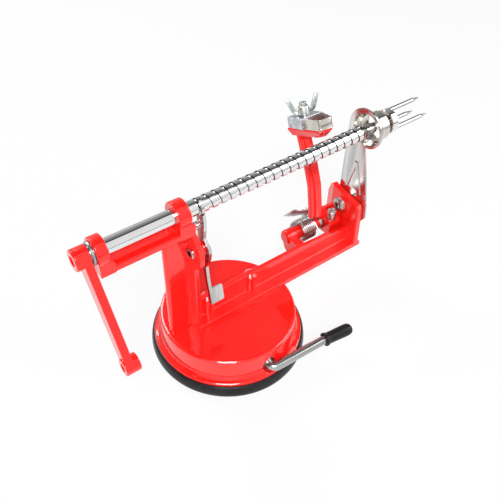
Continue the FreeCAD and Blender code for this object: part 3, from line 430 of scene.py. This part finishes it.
# %% [markdown]
# ## Springs
#
# Both springs are wound from one round wire. A ring the size of the wire is set beside the
# axis and the Screw modifier winds it into the coil. The straight ends are the last ring
# extruded on, and a spin of that ring makes each bend, as pliers do with the wire.

# %% Wind a coil
def wind(name, wire, radius, pitch, turns, place, start_angle):
    """A coil of wire about an axis along X, open at both ends."""
    steps = round(turns * 40)
    piece = start(bpy.ops.mesh.primitive_circle_add, name, vertices=12, radius=wire, location=place)
    bpy.ops.transform.translate(value=(0, radius, 0))
    modify(
        piece, "SCREW", axis="X", angle=turns * math.tau, screw_offset=pitch * turns,
        steps=steps, render_steps=steps, use_smooth_shade=True,
    )
    bpy.ops.object.mode_set(mode="OBJECT")
    piece.rotation_euler.x = math.radians(start_angle)
    bpy.ops.object.transform_apply(location=True, rotation=True, scale=True)
    bpy.ops.object.mode_set(mode="EDIT")
    return piece


def pick_end(piece, first):
    """Selects the open ring at one end of the wire and gives its centre."""
    mesh = bmesh.from_edit_mesh(piece.data)
    reach = [vert.co.x for vert in mesh.verts]
    middle = (min(reach) + max(reach)) / 2
    pick(piece, "EDGE", lambda e: e.is_boundary and (e.verts[0].co.x < middle) == first)
    mesh = bmesh.from_edit_mesh(piece.data)
    ring = [vert.co for vert in mesh.verts if vert.select]
    return sum(ring, Vector()) / len(ring)


def run(direction, length):
    """Extrudes the selected ring straight on."""
    step = direction.normalized() * length
    bpy.ops.mesh.extrude_region_move(TRANSFORM_OT_translate={"value": step})


def bend(centre, direction, towards, radius, steps=8):
    """Spins the selected ring from one direction to another."""
    direction = direction.normalized()
    towards = towards.normalized()
    axis = direction.cross(towards).normalized()
    hub = centre + axis.cross(direction) * radius
    angle = direction.angle(towards)
    bpy.ops.mesh.spin(steps=steps, angle=-angle, center=hub, axis=axis)


def close_end(wire):
    """Fills the selected ring with an inset face and turns all faces outward."""
    bpy.ops.mesh.edge_face_add()
    bpy.ops.mesh.inset(thickness=wire * 0.3, depth=0)
    bpy.ops.mesh.select_all(action="SELECT")
    bpy.ops.mesh.remove_doubles(threshold=wire * 0.02)
    bpy.ops.mesh.normals_make_consistent(inside=False)


# %% [markdown]
# ## The arm's torsion spring
#
# Eight close turns sit round the pivot. One end runs up and hooks behind the arm, the other
# runs down to a rib of the beam, so the coil keeps the blade pressed on the apple. The wire
# is 1.15 mm thick. Each end goes on straight from the helix, so its direction is the helix's
# own at the angle where the coil stops.

# %% Torsion spring
wire = 0.575 * MM
coil_radius = 8.0 * MM
pitch = 1.575 * MM
turns = 7.9175
first_angle = 161.0
knee_radius = 1.6 * MM
upper_leg = 15.0 * MM
hook = 9.0 * MM
lower_leg = 9.15 * MM
along = Vector((1, 0, 0))


def helix_direction(degrees):
    """The wire's direction where it passes an angle of the coil."""
    angle = math.radians(degrees)
    round_axis = math.tau * coil_radius
    return Vector((pitch, -round_axis * math.sin(angle), round_axis * math.cos(angle))).normalized()


coil = wind("torsion_coil", wire, coil_radius, pitch, turns, Vector((76.7, 20.0, 41.5)) * MM, first_angle)
upward = -helix_direction(first_angle)
knee = knee_radius * math.tan(upward.angle(along) / 2)
centre = pick_end(coil, True)
run(upward, upper_leg - knee)
bend(centre + upward * (upper_leg - knee), upward, along, knee_radius)
run(along, hook - knee)
close_end(wire)
pick_end(coil, False)
run(helix_direction(first_angle + 360.0 * turns), lower_leg)
close_end(wire)
settle(coil, wire_steel, "frame", "arm_torsion_spring", angle=60)

# %% [markdown]
# ## The release lever's spring
#
# A light coil of three turns stands between the front bearing and the lever, above its
# pivot, and pushes the hook back into the thread. Its ends turn straight along the axis.

# %% Release spring
wire = 0.25 * MM
coil = wind("hook_spring", wire, 2.3 * MM, 0.9667 * MM, 3.0, Vector((-23.3, -1.0, 114.6)) * MM, 0.0)
for first, side in ((True, -1), (False, 1)):
    centre = pick_end(coil, first)
    bend(centre, Vector((0, 0, side)), Vector((side, 0, 0)), 0.6 * MM)
    run(Vector((side, 0, 0)), 0.45 * MM)
    close_end(wire)
settle(coil, wire_steel, "frame", "release_spring", angle=60)

# %% [markdown]
# ## Turned pieces
#
# Rubber feet and caps come out of a mould that was turned on a lathe, so they are made the
# same way: half their outline is drawn point by point, and spun once round the axis. The
# seam is then merged, and the normals are made to point outwards.

# %% Draw a line, spin an outline
def draw(name, points):
    """A chain of edges through points in millimetres."""
    points = [Vector(point) * MM for point in points]
    piece = start(bpy.ops.mesh.primitive_plane_add, name, size=MM)
    bpy.ops.mesh.select_mode(type="VERT")
    bpy.ops.mesh.merge(type="CENTER")
    bpy.ops.mesh.select_all(action="SELECT")
    bpy.ops.transform.translate(value=points[0])
    for here, there in zip(points, points[1:]):
        bpy.ops.mesh.extrude_vertices_move(TRANSFORM_OT_translate={"value": there - here})
    bpy.ops.mesh.select_all(action="SELECT")
    return piece


def turned(name, outline, steps):
    """A closed body of revolution about Z from points of (radius, height) in millimetres."""
    piece = draw(name, [(radius, 0, height) for radius, height in outline])
    bpy.ops.mesh.spin(steps=steps, angle=math.tau, center=(0, 0, 0), axis=(0, 0, 1))
    bpy.ops.mesh.select_all(action="SELECT")
    bpy.ops.mesh.remove_doubles(threshold=0.002 * MM)
    bpy.ops.mesh.normals_make_consistent(inside=False)
    return piece


# %% [markdown]
# ## The rubber foot
#
# One moulding makes the pad that grips the table and the thick ring round the base. Its
# underside is a shallow cup between two sealing lips, and its rim is a rounded band that
# wraps the housing's skirt. The outline below is half of a cut through it.

# %% Rubber foot
outline = [
    (0.0, 0.7), (20.0, 0.6), (41.0, 0.5), (43.6, 0.4), (44.2, 0.05), (45.0, 0.05), (45.6, 0.5),
    (47.6, 0.6), (48.6, 0.5), (49.2, 0.0), (51.4, 0.0), (52.3, 0.25), (52.9, 0.9), (53.25, 1.8),
    (53.4, 3.0), (53.35, 4.2), (53.1, 5.6), (52.75, 7.0), (52.45, 8.1), (52.1, 8.8),
    (51.5, 9.22), (50.9, 9.3), (50.0, 9.3), (49.5, 9.15), (49.33, 8.7), (49.33, 3.62),
    (46.4, 3.58), (45.4, 2.58), (24.0, 2.58), (0.0, 2.58),
]
foot = turned("rubber_foot", outline, 144)
settle(foot, rubber, "frame", "suction_pad", angle=40)

# %% [markdown]
# ## The lever's grip
#
# A rubber cap is pushed over the rod's end. It has a rolled mouth, a slightly waisted barrel
# and a domed tip. It is turned about Z like the foot, and then tipped to lie along the rod.

# %% Lever grip
outline = [
    (0.0, 15.9), (2.9, 15.9), (3.11, 15.6), (3.11, 0.3), (3.4, 0.0), (4.3, 0.0), (4.6, 0.15),
    (4.7, 0.5), (4.7, 1.6), (4.55, 2.0), (4.25, 2.3), (4.1, 2.7), (4.04, 4.5), (4.04, 7.5),
    (4.12, 11.0), (4.2, 15.0), (4.2, 17.7), (4.12, 18.9), (3.85, 20.1), (3.35, 21.1),
    (2.55, 21.75), (1.45, 22.1), (0.0, 22.18),
]
grip = turned("lever_grip", outline, 48)
rod_bend = Vector((40.0, -52.4, 16.0)) * MM
rod_tip = Vector((58.0, -54.6, 16.0)) * MM
along = (rod_tip - rod_bend).normalized()
mouth = rod_bend + along * 2.0 * MM
stand(grip, Matrix.Translation(mouth) @ along.to_track_quat("Z", "Y").to_matrix().to_4x4())
settle(grip, rubber, "suction_cam", "lever_cap", angle=40)

# %% [markdown]
# ## The wing nut
#
# A small plated piece that the fingers turn: a tapered hub with a bore, and two wings that
# leave it sideways and sweep upwards. The hub is turned. A pair of its side faces on either
# side is then spun about a line above them, which sweeps the wing's root in a curve, and run
# on to the tip. The clamp that carries it is tilted by 20 degrees, so one matrix, the head's
# own place, stands the nut and later the blade there.

# %% Wing nut
head = Matrix.Translation(Vector((79.0, 42.6, 127.6)) * MM) @ Matrix.Rotation(math.radians(-20), 4, "X")
outline = [
    (2.55, 0.05), (4.0, 0.05), (4.2, 0.3), (4.1, 1.2), (3.75, 4.4), (3.55, 5.4), (3.3, 6.0), (2.9, 6.2),
    (2.55, 6.2), (2.55, 3.0), (2.55, 0.05),
]
sweep_radius = 3.3 * MM
wing_length = 7.0 * MM
tip_length = 0.9 * MM
nut = turned("thumb_nut", outline, 28)
for side in (1, -1):
    outward = Vector((side, 0, 0))
    upward = Vector((side * 0.36, 0, 0.933))
    root = Vector((side * 3.9, 0, 2.8)) * MM
    pick(nut, "FACE", lambda f: f.normal.dot(outward) > 0.97 and (f.calc_center_median() - root).length < MM)
    bend(root, outward, upward, sweep_radius, 6)
    run(upward, wing_length)
    run(upward, tip_length)
    bpy.ops.transform.resize(value=(0.88, 0.7, 0.88))
modify(nut, "BEVEL", width=0.35 * MM, segments=3, limit_method="ANGLE", angle_limit=math.radians(38))
stud = Matrix.Translation(Vector((8.2, -8.1, 0)) * MM)
stand(nut, head @ stud @ Matrix.Rotation(math.radians(-28), 4, "Z"))
settle(nut, zinc, "clamp_nut", "wing_nut", angle=40)

# %% [markdown]
# ## The peeling blade
#
# A strip of steel 7 mm wide is bent into an open loop: back from the clamp, across the front
# where it cuts, and home. It is drawn as a line seen from above, its two front corners are
# rounded, and the line is pulled down to the width of the strip. Solidify gives the thickness.

# %% Peeling blade
thickness = 0.65 * MM
half_width = 3.55 * MM
top = -0.15
blade = draw("blade_loop", [(1.4, -15.0, top), (2.7, -29.1, top), (12.9, -30.5, top), (17.4, -15.0, top)])
pick(blade, "VERT", lambda v: v.co.y < -20.0 * MM)
bpy.ops.mesh.bevel(offset=1.9 * MM, segments=6, affect="VERTICES")
bpy.ops.mesh.select_all(action="SELECT")
for row in range(2):
    bpy.ops.mesh.extrude_edges_move(TRANSFORM_OT_translate={"value": (0, 0, -half_width)})
bpy.ops.mesh.select_all(action="SELECT")
bpy.ops.mesh.normals_make_consistent(inside=False)
modify(blade, "SOLIDIFY", thickness=thickness, offset=-1.0)
bpy.ops.mesh.select_all(action="SELECT")
bpy.ops.mesh.normals_make_consistent(inside=False)
modify(blade, "BEVEL", width=0.12 * MM, segments=2, limit_method="ANGLE", angle_limit=math.radians(40))
stand(blade, head)
settle(blade, blade_steel, "arm", "peeling_blade", angle=40)

# %% [markdown]
# ## The thumb lock
#
# Sheet steel again: a pointed tab to push with the thumb, and a strip that curls round the
# arm's hub. The tab is drawn flat on its slope and filled, and its lower edge is spun about
# the pivot to make the curl.

# %% Thumb lock
slope = math.radians(55.0)
pivot = Vector((0, 20.0, 41.5))
curl_radius = 4.9
curl_start = math.radians(60.0)
curl = math.radians(155.0)
foot_y = pivot.y + curl_radius * math.cos(curl_start)
foot_z = pivot.z + curl_radius * math.sin(curl_start)
corners = [
    (98.2, 0.0), (98.2, 2.0), (89.5, 10.4), (79.5, 11.6), (69.0, 10.9), (76.9, 7.7), (86.5, 5.2),
    (94.6, 2.6), (94.6, 0.0),
]
outline = [(x, foot_y + up * math.cos(slope), foot_z + up * math.sin(slope)) for x, up in corners]
lock = draw("thumb_lock", outline)
bpy.ops.mesh.edge_face_add()
pick(lock, "EDGE", lambda e: max(v.co.z for v in e.verts) < (foot_z + 0.05) * MM)
bpy.ops.mesh.spin(steps=16, angle=-curl, center=pivot * MM, axis=(1, 0, 0))
bpy.ops.mesh.select_all(action="SELECT")
bpy.ops.mesh.remove_doubles(threshold=0.002 * MM)
bpy.ops.mesh.normals_make_consistent(inside=False)
modify(lock, "SOLIDIFY", thickness=1.1 * MM, offset=1.0)
modify(lock, "BEVEL", width=0.18 * MM, segments=2, limit_method="ANGLE", angle_limit=math.radians(50))
settle(lock, zinc, "lock", "arm_lock", angle=35)

# %% [markdown]
# ## Floor
#
# A pale floor under a white sky is all the studio there is. The camera and polished metal see
# it glow nearly white, so that it runs into the background. A diffuse surface sees it as
# plain paper. An eighth of what the camera sees stays that plain lit paper, and so the floor
# takes the object's soft shadow.

# %% Floor
for other in bpy.context.selected_objects:
    other.select_set(False)
bpy.ops.mesh.primitive_plane_add(size=3.0, location=(0, 0, -0.0002))
floor = bpy.context.object
floor.name = "floor"
paper = Finish("pale_paper", Roughness=0.9, Specular_IOR_Level=0.0)
paper.colour((0.9, 0.9, 0.9, 1.0))
mirrored = paper.node("ShaderNodeLightPath", {}, {}, "Is Glossy Ray")
glow_share = mirrored.larger(paper.node("ShaderNodeLightPath", {}, {}, "Is Camera Ray")) * 0.88
near_white = (0.985, 0.988, 0.988, 1.0)
glow = paper.node("ShaderNodeEmission", {}, {"Color": near_white, "Strength": mirrored * 0.1 + 1.0})
lit = Value(paper, paper.shader.outputs[0])
both = paper.node("ShaderNodeMixShader", {}, {0: glow_share, 1: lit, 2: glow})
paper.feed(paper.tree.nodes["Material Output"].inputs["Surface"], both)
floor.data.materials.append(paper.material)
floor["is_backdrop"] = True
print("floor", floor.dimensions[:])

# %% [markdown]
# ## Sky
#
# The camera sees white all round, and the surfaces get a trace of ambient light. Polished
# metal sees something else: a bright front half, a dark strip overhead, a grey back half and
# a dark line under the horizon. Without those dark parts a chromed rod would vanish against
# the white floor. The direction's share towards the front picks the grey from a ramp.

# %% Sky
world = bpy.data.worlds.new("studio")
bpy.context.scene.world = world
world.use_nodes = True
sky = Graph(world.node_tree)
plain = world.node_tree.nodes["Background"]
plain.inputs["Color"].default_value = (0.05, 0.05, 0.05, 1.0)
plain.inputs["Strength"].default_value = 0.26
towards = sky.node("ShaderNodeTexCoord", {}, {}, "Generated")
front = {0: towards, 1: (0.0, -0.5, 0.0)}
facing = sky.node("ShaderNodeVectorMath", {"operation": "DOT_PRODUCT"}, front, "Value") + 0.5
fade = sky.node("ShaderNodeValToRGB", {}, {0: facing})
steps = fade.socket.node.color_ramp.elements
steps[0].color = (0.75, 0.75, 0.75, 1.0)
steps[1].color = (1.0, 1.0, 1.0, 1.0)
for position, level in ((0.18, 0.42), (0.42, 0.20), (0.52, 0.04), (0.565, 0.03), (0.61, 0.95)):
    steps.new(position).color = (level, level, level, 1.0)
rise = sky.node("ShaderNodeSeparateXYZ", {}, {0: towards}, "Z")
limits = {"Value": rise, "From Min": -0.002, "From Max": 0.01, "To Min": 0.05}
horizon = sky.node("ShaderNodeMapRange", {}, limits)
mirror = sky.node("ShaderNodeBackground", {}, {"Color": fade, "Strength": horizon})
white = sky.node("ShaderNodeBackground", {}, {"Color": (0.975, 0.978, 0.978, 1.0)})
mirrored = sky.node("ShaderNodeLightPath", {}, {}, "Is Glossy Ray")
through = sky.node("ShaderNodeLightPath", {}, {}, "Is Transmission Ray")
seen = sky.node("ShaderNodeLightPath", {}, {}, "Is Camera Ray").larger(through)
around = sky.node("ShaderNodeMixShader", {}, {0: mirrored, 1: Value(sky, plain.outputs[0]), 2: mirror})
whole = sky.node("ShaderNodeMixShader", {}, {0: seen, 1: around, 2: white})
sky.feed(world.node_tree.nodes["World Output"].inputs["Surface"], whole)
print("sky", len(world.node_tree.nodes), "nodes")

# %% [markdown]
# ## Lamps
#
# Three square softboxes do the lighting, at a level where the object's colours render about
# as they are written. The key stands in front on the left, the fill on the right, and the rim
# light behind draws the edges.

# %% Lamps
def softbox(name, place, aim, size, watts):
    """A square area lamp that looks at a point."""
    data = bpy.data.lights.new(name, "AREA")
    data.size = size
    data.energy = watts
    lamp = bpy.data.objects.new(name, data)
    lamp.location = place
    lamp.rotation_euler = (Vector(aim) - Vector(place)).to_track_quat("-Z", "Y").to_euler()
    bpy.context.scene.collection.objects.link(lamp)
    return lamp


middle = (0, 0, 0.06)
key = softbox("key", (-0.55, -0.75, 1.05), middle, 0.5, 18.0)
fill = softbox("fill", (0.9, -0.55, 0.75), middle, 0.8, 8.0)
rim = softbox("rim", (-0.1, 0.9, 0.9), middle, 0.45, 8.0)
print("lamps", key.data.energy, fill.data.energy, rim.data.energy)

# %% [markdown]
# ## Sizes and finish
#
# The dressed object must keep the model's size, so how far each corner of its box moved from the model's box
# is printed.

# %% Compare the boxes and finish
sizes = {"cad": [list(corner) for corner in cad_box], "visual": [list(corner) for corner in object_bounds()]}
for cad_corner, visual_corner in zip(sizes["cad"], sizes["visual"]):
    print("corner moved mm", [round((v - c) / MM, 2) for c, v in zip(cad_corner, visual_corner)])
